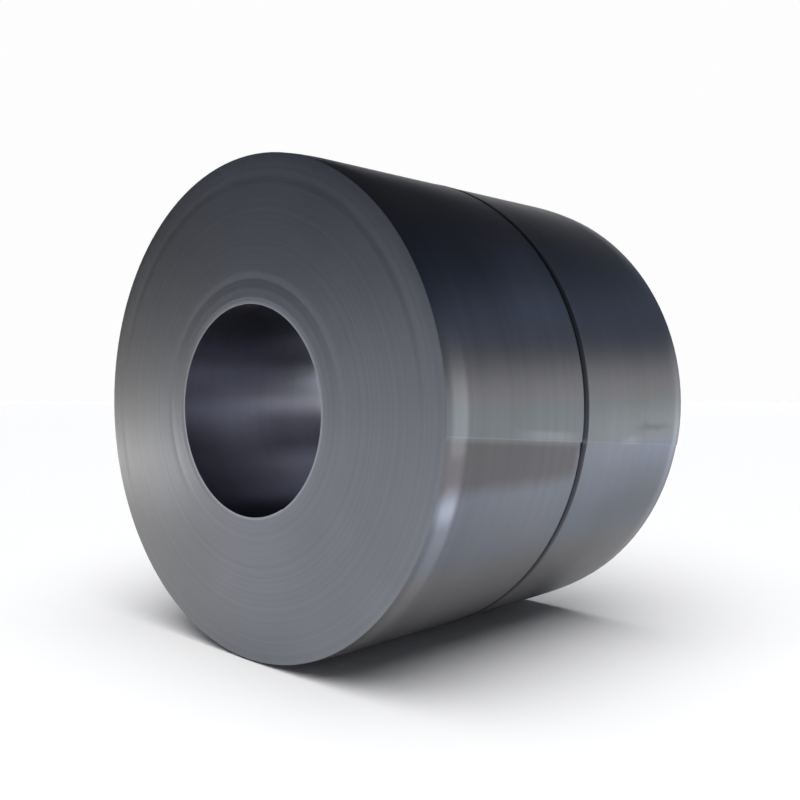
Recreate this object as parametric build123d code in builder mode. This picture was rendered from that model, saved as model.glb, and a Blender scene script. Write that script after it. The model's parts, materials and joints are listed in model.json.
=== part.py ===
# Steel strip wound into one coil, lying on its side, with one steel strap round its middle
#
# Millimetres, +Z up. The origin is the middle of the bore, and the bore runs along Y.
# Angles are measured round the bore in degrees, from +X towards +Z.

import os
from math import acos, atan2, cos, degrees, radians, sin

from build123d import *

# Strip and coil
bore_radius = 381.0
coil_radius = 906.0
strip_width = 1500.0
strip_thickness = 3.0

# The strip is thinner towards its edges, which adds up over the turns
edge_drop = 6.0
edge_drop_width = 110.0

# Where the outer turn ends, cut askew by so much over the width. The turn below lies bare
# beyond it, and starts to close in at a lag behind it.
tail_angle = -6.5
tail_skew = 105.0
tail_lag = 8.0

# Where the inner turn starts
head_angle = -60.0
head_ramp_angle = 50.0

# Groups of turns that lie deeper in the coil's ends, as (width, depth)
# counted outwards from the bore, and inwards from the outer turn
inner_turn_groups = ((12.0, 1.2), (60.0, 0.0), (30.0, 0.6))
outer_turn_groups = ((6.0, 1.2), (60.0, 0.0), (24.0, 0.6))

# Strap, whose outer end rises over its inner end and laps it under a crimped seal
strap_width = 32.0
strap_off_middle = 12.0
strap_thickness = 1.0
strap_clearance = 0.1
strap_lap = 190.0
lap_rise = 24.0
lap_end_gap = 1.0
seal_angle = 150.0
seal_length = 58.0
seal_thickness = 1.2
seal_clearance = 0.1
crimp_radius = 4.5
crimp_pitch = 24.0

# Worked out from the above
half_width = strip_width / 2
below_radius = coil_radius - strip_thickness
lower_radius = coil_radius - strip_thickness / 2
seam_angle = tail_angle - tail_lag
skew_angle = degrees(atan2(tail_skew, strip_width))
bare_sweep = tail_lag + degrees(tail_skew / coil_radius)
lip_skew = (strap_off_middle + strap_width / 2) * tail_skew / strip_width
lip_angle = tail_angle - degrees(lip_skew / coil_radius)
bore_axis = Axis((0, 0, 0), (0, -1, 0))
lap_top = coil_radius + strap_clearance + 2 * strap_thickness
seal_inside = lap_top + seal_clearance
seal_half_width = strap_width / 2 + seal_clearance + seal_thickness
seal_sweep = degrees(seal_length / lap_top)
lap_sweep = degrees(strap_lap / lap_top)
crimp_sweep = degrees(crimp_pitch / lap_top)
lap_start = seal_angle - lap_sweep / 2
rise_sweep = degrees(lap_rise / lap_top)
end_gap_sweep = degrees(lap_end_gap / lap_top)


def polar(radius, angle):
    """Point of the XZ plane at a radius and angle from the middle of the bore."""
    return (radius * cos(radians(angle)), radius * sin(radians(angle)))


def radial_plane(angle, shift=0.0, along=0.0):
    """Plane through the bore's axis: local X runs along the axis, local Y outwards."""
    x, z = polar(shift, angle)
    turn = radians(angle)
    return Plane(origin=(x, along, z), x_dir=(0, 1, 0), z_dir=(sin(turn), 0, -cos(turn)))


# Plane across the bore: local X is +X and local Y is +Z
end_plane = Plane(origin=(0, 0, 0), x_dir=(1, 0, 0), z_dir=(0, -1, 0))
strap_plane = Plane(origin=(0, strap_off_middle, 0), x_dir=(1, 0, 0), z_dir=(0, -1, 0))

# The lower half of the outer turn has its own centre, half a thickness behind the bore's,
# so that the turn spirals out by one thickness from under its free end
lower_centre = polar(-strip_thickness / 2, seam_angle)
lower_axis = Axis((lower_centre[0], 0, lower_centre[1]), (0, 1, 0))

# Plane of the cut that ends the outer turn, lower at the far end of the coil. It faces upwards.
tail_x, tail_z = polar(coil_radius, tail_angle)
tail_up = polar(cos(radians(skew_angle)), tail_angle + 90)
tail_plane = Plane(
    origin=(tail_x, 0, tail_z),
    x_dir=(tail_x, 0, tail_z),
    z_dir=(tail_up[0], sin(radians(skew_angle)), tail_up[1]),
)


def roll_profile(radius, mode=Mode.ADD):
    """Half of the coil's section, from its axis out to the given radius."""
    group_width, group_depth = outer_turn_groups[0]
    rim = radius - edge_drop
    level = half_width - edge_drop_width
    end = half_width - group_depth
    with BuildLine() as outline:
        Line((level, radius), (-level, radius))
        TangentArc((-level, radius), (-end, rim), tangent=(-1, 0))
        Polyline(
            (-end, rim),
            (-end, rim - group_width),
            (-half_width, rim - group_width),
            (-half_width, 0),
            (half_width, 0),
            (half_width, rim - group_width),
            (end, rim - group_width),
            (end, rim),
        )
        TangentArc((level, radius), (end, rim), tangent=(1, 0))
    make_face(outline.edges(), mode=mode)


# What the outer turn would cover if it went on to the seam
with BuildPart() as bare_stretch:
    with BuildSketch(radial_plane(seam_angle)):
        reach = edge_drop + 2 * strip_thickness + outer_turn_groups[0][0]
        with Locations((0, coil_radius)):
            Rectangle(strip_width, 2 * reach)
        roll_profile(below_radius, mode=Mode.SUBTRACT)
    revolve(axis=bore_axis, revolution_arc=bare_sweep)
    split(bisect_by=tail_plane, keep=Keep.BOTTOM)

with BuildPart() as coil:
    with BuildSketch(radial_plane(seam_angle)):
        roll_profile(coil_radius)
    revolve(axis=bore_axis, revolution_arc=180)
    with BuildSketch(radial_plane(seam_angle, -strip_thickness / 2)):
        roll_profile(lower_radius)
    revolve(axis=lower_axis, revolution_arc=180)
    add(bare_stretch.part, mode=Mode.SUBTRACT)

    # The bore
    with BuildSketch(end_plane):
        Circle(bore_radius)
    extrude(amount=strip_width, both=True, mode=Mode.SUBTRACT)

    # The step at the start of the inner turn, and the turn behind it closing in again
    with BuildSketch(end_plane):
        with BuildLine():
            ramp_start = polar(bore_radius, head_angle + head_ramp_angle)
            ramp_tangent = polar(1, head_angle + head_ramp_angle - 90)
            step_top = polar(bore_radius + strip_thickness, head_angle)
            TangentArc(ramp_start, step_top, tangent=ramp_tangent)
            Line(step_top, polar(bore_radius, head_angle))
            Line(polar(bore_radius, head_angle), (0, 0))
            Line((0, 0), ramp_start)
        make_face()
    extrude(amount=strip_width, both=True, mode=Mode.SUBTRACT)

    # The deeper groups of turns, on both ends
    with BuildSketch(radial_plane(90)):
        radius = bore_radius
        for group_width, group_depth in inner_turn_groups:
            if group_depth:
                for side in (-1, 1):
                    with Locations((side * half_width, radius + group_width / 2)):
                        Rectangle(2 * group_depth, group_width)
            radius += group_width
        radius = coil_radius - edge_drop - outer_turn_groups[0][0]
        for group_width, group_depth in outer_turn_groups[1:]:
            if group_depth:
                for side in (-1, 1):
                    with Locations((side * half_width, radius - group_width / 2)):
                        Rectangle(2 * group_depth, group_width)
            radius -= group_width
    revolve(axis=bore_axis, mode=Mode.SUBTRACT)


def belt_face(gap, mode=Mode.ADD):
    """Outline pulled taut round the coil at a gap: straight from the free end to the turn below."""
    lip = coil_radius + gap
    below = below_radius + gap
    touch_angle = lip_angle - degrees(acos(below / lip))
    with BuildLine() as outline:
        upper = CenterArc((0, 0), lip, lip_angle, seam_angle + 180 - lip_angle)
        CenterArc(lower_centre, lower_radius + gap, seam_angle + 180, 180)
        bare = CenterArc((0, 0), below, seam_angle, touch_angle - seam_angle)
        Line(bare @ 1, upper @ 0)
    make_face(outline.edges(), mode=mode)


def ring_sector(inner, outer, start, sweep, mode=Mode.ADD):
    """Part of a ring about the bore's axis."""
    with BuildLine() as outline:
        low = CenterArc((0, 0), inner, start, sweep)
        high = CenterArc((0, 0), outer, start, sweep)
        Line(low @ 0, high @ 0)
        Line(low @ 1, high @ 1)
    make_face(outline.edges(), mode=mode)


def rising_band(inner, start, sweep):
    """The strap as it lifts off the coil by its own thickness, ending level."""
    end = start + sweep
    outlines = []
    with BuildLine() as outline:
        for level in (inner, inner + strap_thickness):
            low = polar(level, start)
            high = polar(level + strap_thickness, end)
            outlines.append(Spline(low, high, tangents=(polar(1, start + 90), polar(1, end + 90))))
        Line(outlines[0] @ 0, outlines[1] @ 0)
        Line(outlines[0] @ 1, outlines[1] @ 1)
    make_face(outline.edges())


def cut_crimps():
    """The notches that lock the seal to both layers of the strap, in pairs across it."""
    for angle in (seal_angle - crimp_sweep / 2, seal_angle + crimp_sweep / 2):
        for side in (-1, 1):
            x, z = polar(coil_radius, angle)
            notch_plane = Plane(
                origin=(x, strap_off_middle + side * seal_half_width, z),
                x_dir=(0, 1, 0),
                z_dir=(cos(radians(angle)), 0, sin(radians(angle))),
            )
            with BuildSketch(notch_plane) as notch:
                Circle(crimp_radius)
            extrude(notch.sketch, amount=crimp_pitch, mode=Mode.SUBTRACT)


with BuildPart() as strap:
    with BuildSketch(strap_plane):
        strap_inside = coil_radius + strap_clearance
        belt_face(strap_clearance + strap_thickness)
        belt_face(strap_clearance, mode=Mode.SUBTRACT)
        # The inner end stops where the outer end has risen over it
        lift_start = lap_start - end_gap_sweep - rise_sweep
        below_lift = strap_inside - strap_clearance / 2
        above_lift = strap_inside + 1.5 * strap_thickness
        ring_sector(below_lift, above_lift, lift_start, rise_sweep + end_gap_sweep, mode=Mode.SUBTRACT)
        rising_band(strap_inside, lift_start, rise_sweep)
        over_end = lap_start - end_gap_sweep
        ring_sector(lap_top - strap_thickness, lap_top, over_end, lap_sweep + end_gap_sweep)
    extrude(amount=strap_width / 2, both=True)
    cut_crimps()

with BuildPart() as strap_seal:
    with BuildSketch(radial_plane(seal_angle - seal_sweep / 2, along=strap_off_middle)):
        with BuildLine():
            outside = seal_inside + seal_thickness
            foot = coil_radius + seal_clearance
            inner_half = seal_half_width - seal_thickness
            Polyline(
                (-seal_half_width, foot),
                (-seal_half_width, outside),
                (seal_half_width, outside),
                (seal_half_width, foot),
                (inner_half, foot),
                (inner_half, seal_inside),
                (-inner_half, seal_inside),
                (-inner_half, foot),
                close=True,
            )
        make_face()
    revolve(axis=bore_axis, revolution_arc=seal_sweep)
    cut_crimps()

coil.part.label = "coil"
strap.part.label = "strap"
strap_seal.part.label = "strap_seal"

os.makedirs("parts", exist_ok=True)
export_step(coil.part, "parts/coil.step")
export_step(strap.part, "parts/strap.step")
export_step(strap_seal.part, "parts/strap_seal.step")
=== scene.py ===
# Looks of a wound steel coil with one strap, in metres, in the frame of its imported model.
#
# +Y runs along the bore, and +Z is up. Angles are measured round the bore, from +X upwards.
# "Near" is the end towards the camera, at -Y.

import json
import math

import bpy
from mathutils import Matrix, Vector


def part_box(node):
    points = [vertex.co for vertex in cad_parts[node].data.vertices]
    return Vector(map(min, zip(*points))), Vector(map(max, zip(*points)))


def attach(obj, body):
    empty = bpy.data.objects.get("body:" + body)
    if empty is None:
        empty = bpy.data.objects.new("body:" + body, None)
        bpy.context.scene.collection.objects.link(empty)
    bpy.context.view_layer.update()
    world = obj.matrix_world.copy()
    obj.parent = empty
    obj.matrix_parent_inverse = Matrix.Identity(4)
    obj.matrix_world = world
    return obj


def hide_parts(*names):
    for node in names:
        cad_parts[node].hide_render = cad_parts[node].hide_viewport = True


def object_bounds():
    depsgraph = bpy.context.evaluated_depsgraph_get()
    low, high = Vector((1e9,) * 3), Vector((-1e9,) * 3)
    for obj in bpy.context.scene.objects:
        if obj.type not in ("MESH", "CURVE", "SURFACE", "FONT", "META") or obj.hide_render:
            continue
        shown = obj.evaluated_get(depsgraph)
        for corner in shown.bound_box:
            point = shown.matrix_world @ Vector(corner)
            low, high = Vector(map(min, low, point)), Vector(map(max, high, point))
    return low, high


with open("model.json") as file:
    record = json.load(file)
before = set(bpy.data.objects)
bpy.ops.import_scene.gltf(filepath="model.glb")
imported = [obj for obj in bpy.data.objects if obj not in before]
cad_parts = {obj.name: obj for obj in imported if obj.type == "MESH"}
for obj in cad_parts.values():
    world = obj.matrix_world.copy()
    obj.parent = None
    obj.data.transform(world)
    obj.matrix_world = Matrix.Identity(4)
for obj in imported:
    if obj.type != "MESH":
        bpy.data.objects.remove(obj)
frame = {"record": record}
cad_low, cad_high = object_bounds()

MM = 0.001
FULL_TURN = 2 * math.pi

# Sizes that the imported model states
bore = next(mount for mount in frame["record"]["mounts"] if mount["name"] == "bore")
bore_radius = bore["dims"]["r_mm"] * MM
half_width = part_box("coil")[1].y
outer_radius = round(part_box("coil")[1].z, 3)
strap_low, strap_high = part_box("strap")
strap_middle = (strap_low.y + strap_high.y) / 2
strap_half_width = (strap_high.y - strap_low.y) / 2

# The strip as it is wound, as in the solid: its outer turn ends at the tail, cut askew,
# and starts to close in at the seam, below it. Its inner turn starts at the head.
strip_thickness = 3.0 * MM
tail_angle = math.radians(-6.5)
tail_skew = 105.0 * MM
tail_lag = math.radians(8)
head_angle = math.radians(-60)
head_ramp = math.radians(50)
edge_drop = 6.0 * MM
edge_drop_width = 110.0 * MM
seam_angle = tail_angle - tail_lag
rim_radius = outer_radius - edge_drop
skew_slope = tail_skew / (2 * half_width)

# Groups of turns that lie deeper in the ends, as (width, depth) in mm, as in the solid
inner_turn_groups = ((12, 1.2), (60, 0.0), (30, 0.6))
outer_turn_groups = ((6, 1.2), (60, 0.0), (24, 0.6))

# Fine relief of the ends: a groove between two turns, and turns that stand unevenly,
# in waves of so many radians a turn
groove_depth = 0.2 * MM
wander_depth = 0.12 * MM
wander_waves = (1.9, 0.73, 0.11)
group_blend = 24.0 * MM
skew_blend = 60.0 * MM

# The strap and its seal, as in the solid
strap_thickness = 1.0 * MM
strap_clearance = 0.1 * MM
strap_lap = 190 * MM
lap_rise = 24 * MM
seal_angle = math.radians(150)
seal_length = 58 * MM
seal_thickness = 1.2 * MM
seal_clearance = 0.1 * MM
crimp_radius = 4.5 * MM
crimp_pitch = 24 * MM

# What the strap and the seal have here alone
lap_gap = 0.02 * MM
strap_edge_round = 0.25 * MM
strap_corner_turns = (0, 30, 60, 90)
notch_length = 20 * MM

# Fineness of the meshes
round_steps = 128
drop_rows = 9
straight_rows = 16
seal_steps = 8
notch_sides = 32
sharp_angle = math.radians(40)
doubles = 2e-7
seal_doubles = 1e-5
tiny = 1e-6


# Helpers for modelling


def deselect():
    bpy.ops.object.select_all(action="DESELECT")


def named(name):
    """Names the object that was just added, and puts its place into its mesh."""
    piece = bpy.context.active_object
    piece.name = name
    piece.data.name = name
    bpy.ops.object.transform_apply(location=True, rotation=True, scale=True)
    return piece


def traced(name, points):
    """A closed line: one vertex, extruded from point to point and joined to its start."""
    deselect()
    bpy.ops.mesh.primitive_plane_add(size=0.01, location=points[0])
    piece = named(name)
    bpy.ops.object.mode_set(mode="EDIT")
    bpy.ops.mesh.select_all(action="SELECT")
    bpy.ops.mesh.merge(type="CENTER")
    # Leaving edit mode once keeps the vertices that follow in the order of the points
    bpy.ops.object.mode_set(mode="OBJECT")
    bpy.ops.object.mode_set(mode="EDIT")
    for start, end in zip(points, points[1:]):
        step = Vector(end) - Vector(start)
        bpy.ops.mesh.extrude_region_move(TRANSFORM_OT_translate={"value": step})
    bpy.ops.mesh.select_all(action="DESELECT")
    bpy.ops.object.mode_set(mode="OBJECT")
    piece.data.vertices[0].select = True
    piece.data.vertices[len(points) - 1].select = True
    bpy.ops.object.mode_set(mode="EDIT")
    bpy.ops.mesh.edge_face_add()
    bpy.ops.object.mode_set(mode="OBJECT")
    return piece


def spin(piece, angle, steps):
    """Turns the piece's outline about the bore's axis, upwards from the +X side."""
    bpy.context.view_layer.objects.active = piece
    bpy.ops.object.mode_set(mode="EDIT")
    bpy.ops.mesh.select_all(action="SELECT")
    bpy.ops.mesh.spin(steps=steps, angle=angle, center=(0, 0, 0), axis=(0, 1, 0))
    bpy.ops.object.mode_set(mode="OBJECT")


def in_radial_plane(y, radius, angle):
    return Vector((radius * math.cos(angle), y, radius * math.sin(angle)))


def close_open_edges(piece):
    """Fills every open outline with one face."""
    bpy.context.view_layer.objects.active = piece
    bpy.ops.object.mode_set(mode="EDIT")
    bpy.ops.mesh.select_all(action="SELECT")
    bpy.ops.mesh.remove_doubles(threshold=doubles)
    bpy.ops.mesh.fill_holes(sides=0)
    bpy.ops.object.mode_set(mode="OBJECT")


def finish_surface(piece, merge=doubles):
    """Merges doubles, turns every face outwards and smooths all but the sharp edges."""
    deselect()
    piece.select_set(True)
    bpy.context.view_layer.objects.active = piece
    bpy.ops.object.mode_set(mode="EDIT")
    bpy.ops.mesh.select_all(action="SELECT")
    bpy.ops.mesh.remove_doubles(threshold=merge)
    bpy.ops.mesh.normals_make_consistent(inside=False)
    bpy.ops.object.mode_set(mode="OBJECT")
    bpy.ops.object.shade_smooth_by_angle(angle=sharp_angle)


# The wound strip


def group_depth(reach, groups):
    """How deep the turns lie at a distance into a row of groups, with soft steps."""
    edge = 0.0
    level = groups[0][1]
    for width, next_level in groups + ((0, 0.0),):
        blend = min(max((reach - edge) / group_blend + 0.5, 0), 1)
        level += (next_level - level) * blend
        edge += width * MM
    return level * MM


def end_depth(radius):
    """How far the turns at a radius lie behind the plane of the coil's end."""
    depth = group_depth(radius - bore_radius, inner_turn_groups)
    depth += group_depth(rim_radius - radius, outer_turn_groups)
    turn = radius / strip_thickness
    waves = sum(math.sin(wave * turn) for wave in wander_waves)
    share = (waves + len(wander_waves)) / (2 * len(wander_waves))
    return depth + share * wander_depth


def winding_shift(turned):
    """How far a turn has closed in after turning upwards from the seam by this angle."""
    if turned <= math.pi:
        return 0.0
    if turned >= FULL_TURN:
        return strip_thickness
    return strip_thickness / 2 * (1 + math.cos(turned))


def tail_turn(y, radius=outer_radius):
    """Angle from the seam up to the skewed free end. It fades out in the turns further in."""
    turn = tail_angle - math.asin(y * skew_slope / outer_radius) - seam_angle
    share = min(max((radius - rim_radius + strip_thickness) / skew_blend + 1, 0), 1)
    return turn * share * share * (3 - 2 * share)


def head_step(angle):
    """How much wider the bore is behind the start of the inner turn."""
    past = (angle - head_angle) % FULL_TURN
    if past >= head_ramp:
        return 0.0
    return strip_thickness * (1 - past / head_ramp) ** 2


def coil_section():
    """Closed section of the coil as (y, radius), with two points for each turn on its ends."""
    turns = round((rim_radius - bore_radius) / strip_thickness)
    radii = [bore_radius + row * strip_thickness / 2 for row in range(2 * turns)]
    drop_start = half_width - edge_drop_width
    drop_end = half_width - outer_turn_groups[0][1] * MM
    drop = []
    for row in range(drop_rows + 1):
        share = row / drop_rows
        y = drop_end + (drop_start - drop_end) * share
        drop.append((y, outer_radius - edge_drop * (1 - share) ** 2))
    side = [(half_width, radius) for radius in radii] + drop
    row_width = 2 * drop_start / straight_rows
    straight = [(drop_start - row * row_width, outer_radius) for row in range(1, straight_rows)]
    return side + straight + [(-y, radius) for y, radius in reversed(side)]


def wound_point(y, radius, turned):
    """Where a point of the section lies on the spiral after turning upwards from the seam."""
    on_end = abs(y) == half_width
    turned += tail_turn(y, radius - winding_shift(turned))
    angle = seam_angle + math.fmod(turned, FULL_TURN)
    between_turns = round((radius - bore_radius) / (strip_thickness / 2)) % 2 == 0
    groove = groove_depth if between_turns else 0
    radius -= winding_shift(turned) * min((radius - bore_radius) / strip_thickness, 1)
    inside = bore_radius + head_step(angle)
    if radius < inside + tiny:
        radius = inside
        groove = groove_depth
    if on_end:
        y = math.copysign(half_width - end_depth(radius) - groove, y)
    return in_radial_plane(y, radius, angle)


def wound_coil():
    """The section, spun just short of a full turn and then laid on the spiral, ring by ring."""
    section = coil_section()
    points = [in_radial_plane(y, radius, seam_angle) for y, radius in section]
    coil = traced("wound_strip", points)
    short_of_start = 1e-4
    spin(coil, FULL_TURN - short_of_start, round_steps)
    for vertex in coil.data.vertices:
        y, radius = section[vertex.index % len(section)]
        turned = FULL_TURN * (vertex.index // len(section)) / round_steps
        vertex.co = wound_point(y, radius, turned)

    # The face of the free end, between the outer turn and the turn below
    close_open_edges(coil)
    finish_surface(coil)
    return coil


# The strap and its seal


def belt_radius(angle, gap):
    """Radius of a line pulled taut round the coil, straight from the tail to the turn below."""
    turned = (angle - seam_angle) % FULL_TURN
    if turned > math.pi:
        return outer_radius - winding_shift(turned) + gap
    before_lip = tail_turn(strap_high.y) - turned
    if before_lip < tiny:
        return outer_radius + gap
    below = outer_radius - strip_thickness + gap
    bridge = math.acos(below / (outer_radius + gap))
    return below / math.cos(max(bridge - before_lip, 0))


def strap_section():
    """The strap's section with rounded corners, as (y, height above its underside)."""
    corner = strap_edge_round
    section = []
    for side, top, start in ((1, False, -90), (1, True, 0), (-1, True, 90), (-1, False, 180)):
        for turn in strap_corner_turns:
            around = math.radians(start + turn)
            y = strap_middle + side * (strap_half_width - corner) + corner * math.cos(around)
            centre = strap_thickness - corner if top else corner
            section.append((y, centre + corner * math.sin(around)))
    return section


def wound_strap():
    """One band whose outer end rises over its inner end and lies on it under the seal."""
    section = strap_section()
    underside = outer_radius + strap_clearance
    step_angle = FULL_TURN / round_steps
    lap_steps = round(strap_lap / (outer_radius * step_angle))
    lip_angle = seam_angle + tail_turn(strap_high.y)
    first_step = round((seal_angle - lip_angle) / step_angle) - lap_steps // 2
    start_angle = lip_angle + first_step * step_angle
    points = [in_radial_plane(y, underside + up, start_angle) for y, up in section]
    strap = traced("wound_strap", points)
    spin(strap, FULL_TURN + lap_steps * step_angle, round_steps + lap_steps)
    rise = lap_rise / outer_radius
    for vertex in strap.data.vertices:
        x, y, z = vertex.co
        up = math.hypot(x, z) - outer_radius - strap_clearance
        gone = vertex.index // len(section) * step_angle
        layer = min(max((gone - FULL_TURN + rise) / rise, 0), 1)
        layer = layer * layer * (3 - 2 * layer)
        angle = start_angle + gone
        radius = belt_radius(angle, strap_clearance) + up + layer * (strap_thickness + lap_gap)
        vertex.co = in_radial_plane(y, radius, angle)
    close_open_edges(strap)
    finish_surface(strap)
    return strap


def cut_notch(seal, side, angle, radius):
    """Takes a round notch out of one side of the seal, right through it."""
    place = in_radial_plane(strap_middle + side, radius, angle)
    bpy.ops.mesh.primitive_cylinder_add(
        vertices=notch_sides,
        radius=crimp_radius,
        depth=notch_length,
        location=place,
        rotation=(0, math.pi / 2 - angle, 0),
    )
    notch = named("notch")
    cut = seal.modifiers.new("notch", "BOOLEAN")
    cut.operation = "DIFFERENCE"
    cut.object = notch
    bpy.context.view_layer.objects.active = seal
    bpy.ops.object.modifier_apply(modifier="notch")
    bpy.data.objects.remove(notch)


def crimped_seal():
    """Band bent round both layers of the strap, notched in pairs."""
    inside = outer_radius + strap_clearance + 2 * strap_thickness + seal_clearance
    outside = inside + seal_thickness
    foot = outer_radius + seal_clearance
    outer_half = strap_half_width + seal_clearance + seal_thickness
    inner_half = strap_half_width + seal_clearance
    sweep = seal_length / inside
    start_angle = seal_angle - sweep / 2
    outline = (
        (-outer_half, foot),
        (-outer_half, outside),
        (outer_half, outside),
        (outer_half, foot),
        (inner_half, foot),
        (inner_half, inside),
        (-inner_half, inside),
        (-inner_half, foot),
    )
    points = [in_radial_plane(strap_middle + y, radius, start_angle) for y, radius in outline]
    seal = traced("crimped_seal", points)
    spin(seal, sweep, seal_steps)
    close_open_edges(seal)
    finish_surface(seal, merge=seal_doubles)
    for turn in (-0.5, 0.5):
        for side in (-outer_half, outer_half):
            cut_notch(seal, side, seal_angle + turn * crimp_pitch / inside, outside)
    finish_surface(seal, merge=seal_doubles)
    return seal


# Materials


class Look:
    """A metal whose colour is built up in nodes, on the piece's own coordinates.

    A mask is a number between 0 and 1 that says where something is. It comes from the place
    on the piece, in metres, or from the angle round the bore, in degrees.
    """

    def __init__(self, name):
        self.material = bpy.data.materials.new(name)
        self.material.use_nodes = True
        self.nodes = self.material.node_tree.nodes
        self.links = self.material.node_tree.links
        self.shader = self.nodes["Principled BSDF"]
        place = self.nodes.new("ShaderNodeTexCoord")
        self.place = place.outputs["Object"]
        split = self.nodes.new("ShaderNodeSeparateXYZ")
        self.links.new(self.place, split.inputs["Vector"])
        self.x, self.y, self.z = split.outputs

    def put(self, value, socket):
        if isinstance(value, bpy.types.NodeSocket):
            self.links.new(value, socket)
        else:
            socket.default_value = value

    def math(self, operation, one, other=0.0):
        node = self.nodes.new("ShaderNodeMath")
        node.operation = operation
        self.put(one, node.inputs[0])
        self.put(other, node.inputs[1])
        return node.outputs[0]

    def product(self, *factors):
        result = factors[0]
        for factor in factors[1:]:
            result = self.math("MULTIPLY", result, factor)
        return result

    def between(self, value, start, end, low=0.0, high=1.0, kind="LINEAR"):
        """Turns a value that goes from start to end into one that goes from low to high."""
        node = self.nodes.new("ShaderNodeMapRange")
        node.interpolation_type = kind
        ends = {"From Min": start, "From Max": end, "To Min": low, "To Max": high}
        for name, number in ends.items():
            node.inputs[name].default_value = number
        self.links.new(value, node.inputs["Value"])
        return node.outputs["Result"]

    def window(self, value, low, high, soft):
        """Mask that is 1 between low and high and 0 outside, with soft ends."""
        rise = self.between(value, low - soft, low + soft, kind="SMOOTHSTEP")
        fall = self.between(value, high - soft, high + soft, 1.0, 0.0, kind="SMOOTHSTEP")
        return self.product(rise, fall)

    def noise(self, scale, detail, low=0.0, high=1.0):
        """Uneven tone from low to high, finer in a direction with a larger scale."""
        mapping = self.nodes.new("ShaderNodeMapping")
        mapping.inputs["Scale"].default_value = scale
        self.links.new(self.place, mapping.inputs["Vector"])
        texture = self.nodes.new("ShaderNodeTexNoise")
        texture.inputs["Scale"].default_value = 1.0
        texture.inputs["Detail"].default_value = detail
        self.links.new(mapping.outputs["Vector"], texture.inputs["Vector"])
        return self.between(texture.outputs["Fac"], 0.3, 0.7, low, high)

    def rings(self, radius, scale, detail, low, high):
        """Uneven tone from low to high, the same all the way round at one radius."""
        node = self.nodes.new("ShaderNodeTexNoise")
        node.noise_dimensions = "1D"
        node.inputs["Scale"].default_value = scale
        node.inputs["Detail"].default_value = detail
        self.links.new(radius, node.inputs["W"])
        return self.between(node.outputs["Fac"], 0.3, 0.7, low, high)

    def angle(self):
        """Degrees round the bore, from +X upwards."""
        return self.math("MULTIPLY", self.math("ARCTAN2", self.z, self.x), 180 / math.pi)

    def radius(self):
        """Distance from the bore's axis."""
        square = self.math("ADD", self.product(self.x, self.x), self.product(self.z, self.z))
        return self.math("SQRT", square)

    def mix(self, one, other, share):
        node = self.nodes.new("ShaderNodeMix")
        node.data_type = "RGBA"
        for name, value in (("A", one), ("B", other)):
            if isinstance(value, tuple):
                value = value + (1,)
            self.put(value, [i for i in node.inputs if i.name == name and i.type == "RGBA"][0])
        self.put(share, node.inputs["Factor"])
        return [o for o in node.outputs if o.type == "RGBA"][0]

    def shaded(self, colour, tones, marks=()):
        """A colour made lighter or darker, by tones everywhere and by 1 + gain in each mask."""
        gains = [self.between(mask, 0, 1, 1, 1 + gain) for mask, gain in marks]
        node = self.nodes.new("ShaderNodeVectorMath")
        node.operation = "SCALE"
        self.links.new(colour, node.inputs[0])
        self.links.new(self.product(*tones, *gains), node.inputs["Scale"])
        return node.outputs["Vector"]

    def finished(self, colour, roughness, metallic=1.0):
        self.shader.inputs["Metallic"].default_value = metallic
        self.put(colour, self.shader.inputs["Base Color"])
        self.put(roughness, self.shader.inputs["Roughness"])
        return self.material


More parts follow.
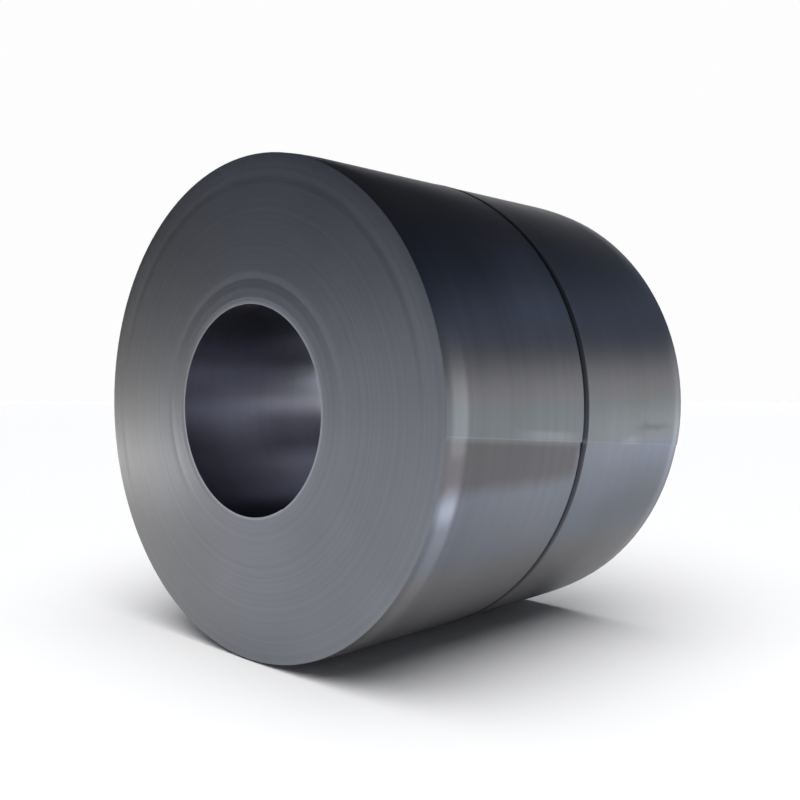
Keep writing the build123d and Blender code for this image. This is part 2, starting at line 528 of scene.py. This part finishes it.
def rolled_steel():
    """The barrel: dark bands, painted highlights, painted shade, and an oxide patch on the turn below.
    """
    look = Look("rolled_steel")
    streaks = look.noise((0.7, 28, 0.7), 5)
    clouds = look.noise((1.6, 1.6, 1.6), 2)
    highlight_noise = look.noise((3, 3, 3), 3, 0.55, 1)
    true_angle = look.angle()
    angle = look.math("ADD", true_angle, look.noise((9, 9, 9), 3, -0.5, 0.5))

    # Degrees past the skewed free end, upwards
    skew = math.degrees(skew_slope / outer_radius)
    past_tail = look.math("ADD", look.product(look.y, skew), true_angle)
    past_tail = look.math("SUBTRACT", past_tail, math.degrees(tail_angle))

    # Bluish high up and below the free end, greenish above it, and brownish elsewhere
    blue_below_tail = look.product(
        look.window(angle, -32, -7, 4),
        look.noise((2, 2, 2), 2, 0.5, 1),
        look.between(look.y, -0.1, 0.4, 0.75, 1),
    )
    blue = look.math("MAXIMUM", blue_below_tail, look.window(angle, 16, 42, 7))
    colour = look.mix((0.203, 0.202, 0.212), (0.172, 0.2, 0.262), blue)
    colour = look.mix(colour, (0.188, 0.206, 0.217), look.window(angle, -6.5, 2.5, 1.5))

    # The patch of oxide, which ends at the strap
    oxide = look.product(
        look.between(angle, -16.5, -12, kind="SMOOTHSTEP"),
        look.between(look.y, 0, -0.04),
        look.between(past_tail, -1.3, 0.1, 1, 0),
    )
    colour = look.mix(colour, (0.2, 0.187, 0.195), look.product(oxide, 0.75))
    # The patch is darker partly from oxide and partly from painted shade under the free end
    patch = look.product(oxide, look.between(look.y, -0.68, -0.64, 0.35, 1))

    # The free end: a painted highlight on its upper side and a painted highlight along its edge
    tail_highlight = look.product(look.window(past_tail, 0.2, 2.0, 0.6), look.window(look.y, -0.36, -0.06, 0.1))
    edge = look.window(past_tail, 0, 0.25, 0.06)

    # Spots and stretches that differ from what lies round them
    # Painted highlight in a band high up on the near half
    painted_sheen = look.product(look.window(angle, 20, 40, 7), look.window(look.y, -0.35, -0.02, 0.14))
    smudge = look.product(look.window(angle, -5, -3.6, 0.9), look.window(look.y, 0.4, 0.62, 0.08))
    # Painted highlight on the free end's edge, beyond the strap
    light_spot = look.product(
        look.window(angle, -8.2, -6.2, 0.8),
        look.window(look.y, 0.3, 0.4, 0.05),
    )
    # Painted highlight just below the middle, on the far half
    light_far = look.product(
        look.window(angle, -12, 0, 4),
        look.between(look.y, -0.05, 0.5, 0.35, 1),
        look.between(look.y, 0, 0.03),
    )
    # Painted shade: darker towards the bottom, more so on the far half
    low = look.window(angle, -80, -17, 9)
    low_far = look.product(look.window(angle, -80, -19, 7), look.between(look.y, -0.1, 0.3))

    # Painted highlights in bands along both rims. The near one is dimmer beside the patch, and a
    # painted glint lies below it.
    beside_patch = look.window(angle, -12.5, -7, 1.5)
    near_rim = look.product(
        look.window(look.y, -0.722, -0.655, 0.014),
        look.window(angle, -62, 13, 7),
        look.between(beside_patch, 0, 1, 1, 0.25),
        highlight_noise,
        look.between(angle, -40, -22, 0.5, 1),
    )
    glint = look.product(look.window(look.y, -0.74, -0.66, 0.02), look.window(angle, -20, -15, 2.5))
    far_rim = look.product(look.window(look.y, 0.69, 0.73, 0.02), look.window(angle, -60, 12, 8), highlight_noise)

    tones = [look.between(streaks, 0, 1, 0.94, 1.06), look.between(clouds, 0, 1, 0.92, 1.08)]
    marks = (
        (patch, -0.35),
        (painted_sheen, 0.4),
        (tail_highlight, 0.3),
        (edge, 0.15),
        (smudge, -0.3),
        (light_spot, 0.25),
        (light_far, 0.3),
        (near_rim, 0.6),
        (glint, 0.75),
        (far_rim, 0.5),
        (low, -0.15),
        (low_far, -0.32),
    )
    return look.finished(look.shaded(colour, tones, marks), look.between(streaks, 0, 1, 0.33, 0.37))


def strip_edges():
    """The ends: the edges of the turns, warmer to one side, a painted highlight round the bore and
    painted shade.
    """
    look = Look("strip_edges")
    clouds = look.noise((2.2, 2.2, 2.2), 3)
    colour = look.mix((0.218, 0.216, 0.214), (0.2, 0.21, 0.236), look.between(look.x, -0.8, 0.1))
    radius = look.radius()
    # Painted highlight round the bore
    rim = look.window(radius, bore_radius - 0.01, bore_radius + 0.009, 0.003)
    # Painted shade at the upper left of the end
    painted_shade = look.product(look.between(look.x, -0.15, -0.55), look.between(look.z, 0, 0.3))
    tones = [
        look.between(clouds, 0, 1, 0.94, 1.06),
        look.rings(radius, 60, 4, 0.96, 1.04),
        # Painted shade: darker towards the bottom
        look.between(look.z, -0.5, -0.1, 0.95, 1),
    ]
    marks = ((rim, 0.45), (painted_shade, -0.16))
    return look.finished(look.shaded(colour, tones, marks), 0.32)


def bore_steel():
    """The bore's wall: steel painted lighter, painted shade low down and further in, and a painted
    reflection.
    """
    look = Look("bore_steel")
    streaks = look.noise((0.7, 20, 0.7), 4)
    # Lighter than the barrel's steel: painted light that brightens the bore
    colour = look.mix((0.5, 0.5, 0.55), (0.45, 0.46, 0.55), look.noise((2, 2, 2), 1))
    # Painted shade: darker towards the bottom of the bore
    low_shade = look.between(look.z, -0.3, 0.02, 0.42, 1, kind="SMOOTHSTEP")

    # On the wall that the photo shows
    left = look.between(look.x, 0.08, -0.05)
    further_in = look.product(left, look.between(look.y, -0.58, -0.25, kind="SMOOTHSTEP"))
    # Painted shade further in, just below the middle
    painted_shade = look.product(look.window(look.z, -0.2, -0.02, 0.05), further_in)
    # Painted reflection: a bright band just above the middle
    high = look.product(look.window(look.z, 0.08, 0.17, 0.035), left)
    middle = look.product(look.window(look.y, -0.2, 0.3, 0.25), left)
    # Painted glint, bluer and brighter, in the middle of that band
    painted_glint = look.product(look.window(look.z, 0.08, 0.12, 0.06), middle)
    colour = look.mix(colour, (0.44, 0.49, 0.6), painted_glint)

    tones = [look.between(streaks, 0, 1, 0.96, 1.04), low_shade]
    marks = ((painted_shade, -0.6), (high, 0.7), (painted_glint, 0.25))
    return look.finished(look.shaded(colour, tones, marks), 0.28)


def blued_strap():
    """Nearly black, with a painted highlight where it crosses the free end of the strip."""
    look = Look("blued_strap")
    scuffs = look.noise((6, 60, 6), 4)
    colour = look.mix((0.012, 0.014, 0.022), (0.03, 0.034, 0.052), scuffs)
    # Painted highlight where the strap bends over the free end
    tail_highlight = look.window(look.angle(), -6.9, -5.9, 0.5)
    colour = look.mix(colour, (0.1, 0.11, 0.135), look.product(tail_highlight, 0.7))
    return look.finished(colour, 0.42)


def seal_steel():
    """Bare steel with fine scuffs."""
    look = Look("seal_steel")
    scuffs = look.noise((40, 40, 40), 4)
    return look.finished(look.mix((0.1, 0.108, 0.125), (0.16, 0.165, 0.18), scuffs), 0.34)


# Camera, light and floor

# The camera as fitted to the photo's view
camera_place = (2.516, -2.799, 0.128)
camera_heading = math.radians(46.225)
camera_pitch_down = math.radians(2.834)
camera_lens = 40.76
camera_shift = (0.1, 0.025)

# Tones all round, as (height, colour): pale at the horizon and dark above it
sky_tones = (
    (0.0, (0.9, 0.9, 0.9)),
    (0.055, (0.88, 0.89, 0.92)),
    (0.15, (0.12, 0.13, 0.15)),
    (0.24, (0.08, 0.087, 0.105)),
    (0.33, (0.22, 0.24, 0.29)),
    (0.45, (0.06, 0.063, 0.08)),
    (0.55, (0.03, 0.031, 0.04)),
)
sky_tilt = (math.radians(-2.8), math.radians(2.8), 0)

floor_size = 120
backdrop_distance = 32
backdrop_width = 40
backdrop_height = 16
backdrop_heading = math.radians(44)
pale_tone = 0.85
backdrop_glow = 0.985


def add_camera():
    camera = bpy.data.objects.new("camera", bpy.data.cameras.new("camera"))
    bpy.context.collection.objects.link(camera)
    camera.location = camera_place
    camera.rotation_euler = (math.pi / 2 - camera_pitch_down, 0, camera_heading)
    camera.data.sensor_width = 36
    camera.data.lens = camera_lens
    camera.data.shift_x, camera.data.shift_y = camera_shift
    bpy.context.scene.camera = camera


def add_key_light():
    """Broad, even light from high up on the camera's side, which the metal doesn't mirror."""
    lamp = bpy.data.lights.new("key_light", "SUN")
    lamp.energy = 3.88
    lamp.angle = math.radians(70)
    light = bpy.data.objects.new("key_light", lamp)
    light.location = (0, 0, 6)
    light.rotation_euler = (math.radians(20), 0, math.radians(35))
    light.visible_glossy = False
    bpy.context.collection.objects.link(light)


def add_side_light():
    """A low soft box that brightens the lower left of the near end."""
    lamp = bpy.data.lights.new("side_light", "AREA")
    lamp.shape = "RECTANGLE"
    lamp.size = 1.6
    lamp.size_y = 0.35
    lamp.energy = 6.2
    light = bpy.data.objects.new("side_light", lamp)
    light.location = (-5.1, -3.2, -0.72)
    light.rotation_euler = (math.pi / 2, 0, math.radians(-58))
    light.visible_camera = False
    bpy.context.collection.objects.link(light)


def add_world():
    """Pale up to the horizon and dark above it, as in a studio with a dark ceiling."""
    world = bpy.data.worlds.new("studio")
    bpy.context.scene.world = world
    world.use_nodes = True
    nodes, links = world.node_tree.nodes, world.node_tree.links
    place = nodes.new("ShaderNodeTexCoord")
    split = nodes.new("ShaderNodeSeparateXYZ")
    ramp = nodes.new("ShaderNodeValToRGB")
    stops = ramp.color_ramp.elements
    for stop, (height, tone) in zip(stops, (sky_tones[0], sky_tones[-1])):
        stop.position = height
        stop.color = tone + (1,)
    for height, tone in sky_tones[1:-1]:
        stop = stops.new(height)
        stop.color = tone + (1,)
    tilt = nodes.new("ShaderNodeMapping")
    tilt.vector_type = "NORMAL"
    tilt.inputs["Rotation"].default_value = sky_tilt
    links.new(place.outputs["Generated"], tilt.inputs["Vector"])
    links.new(tilt.outputs["Vector"], split.inputs["Vector"])
    links.new(split.outputs["Z"], ramp.inputs["Fac"])
    links.new(ramp.outputs["Color"], nodes["Background"].inputs["Color"])


def pale(name):
    """Matt pale paint."""
    look = Look(name)
    look.finished((pale_tone, pale_tone, pale_tone, 1), 0.9, metallic=0.0)
    return look


def white_backdrop():
    """Pale paint that shows as white behind the object and in what mirrors it."""
    look = pale("white_backdrop")
    path = look.nodes.new("ShaderNodeLightPath").outputs
    seen = look.math("MAXIMUM", path["Is Camera Ray"], path["Is Glossy Ray"])
    seen = look.math("MAXIMUM", seen, path["Is Transmission Ray"])
    glow = look.nodes.new("ShaderNodeEmission")
    glow.inputs["Strength"].default_value = backdrop_glow
    mix = look.nodes.new("ShaderNodeMixShader")
    look.links.new(seen, mix.inputs[0])
    look.links.new(look.shader.outputs[0], mix.inputs[1])
    look.links.new(glow.outputs[0], mix.inputs[2])
    look.links.new(mix.outputs[0], look.nodes["Material Output"].inputs["Surface"])
    return look.material


def add_stage():
    """The floor, and a backdrop behind the object and one behind the camera."""
    deselect()
    bpy.ops.mesh.primitive_plane_add(size=floor_size, location=(0, 0, cad_low.z))
    floor = named("floor")
    floor.data.materials.append(pale("pale_floor").material)
    backdrop_look = white_backdrop()
    for name, side in (("backdrop", 1), ("backdrop_opposite", -1)):
        reach = side * backdrop_distance
        x = -reach * math.sin(backdrop_heading)
        y = reach * math.cos(backdrop_heading)
        z = cad_low.z + backdrop_height / 2
        facing = (math.pi / 2, 0, backdrop_heading)
        bpy.ops.mesh.primitive_plane_add(size=1, location=(x, y, z), rotation=facing)
        bpy.context.active_object.scale = (backdrop_width, backdrop_height, 1)
        backdrop = named(name)
        backdrop.data.materials.append(backdrop_look)
        backdrop.visible_shadow = False
        backdrop.visible_diffuse = False


def add_coil_looks(coil):
    """One look for the barrel and the free end's face, one for the ends and one for the bore."""
    for look in (rolled_steel(), strip_edges(), bore_steel()):
        coil.data.materials.append(look)
    facing_along = 0.7
    for face in coil.data.polygons:
        if abs(face.normal.y) > facing_along:
            face.material_index = 1
        elif math.hypot(face.center.x, face.center.z) < bore_radius + 2 * strip_thickness:
            face.material_index = 2


coil = wound_coil()
add_coil_looks(coil)
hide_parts("coil")
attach(coil, "root")

strap = wound_strap()
strap.data.materials.append(blued_strap())
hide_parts("strap")
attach(strap, "root")

seal = crimped_seal()
seal.data.materials.append(seal_steel())
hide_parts("strap_seal")
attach(seal, "root")

add_stage()
add_key_light()
add_side_light()
add_world()
add_camera()
bpy.context.scene.view_settings.view_transform = "Standard"
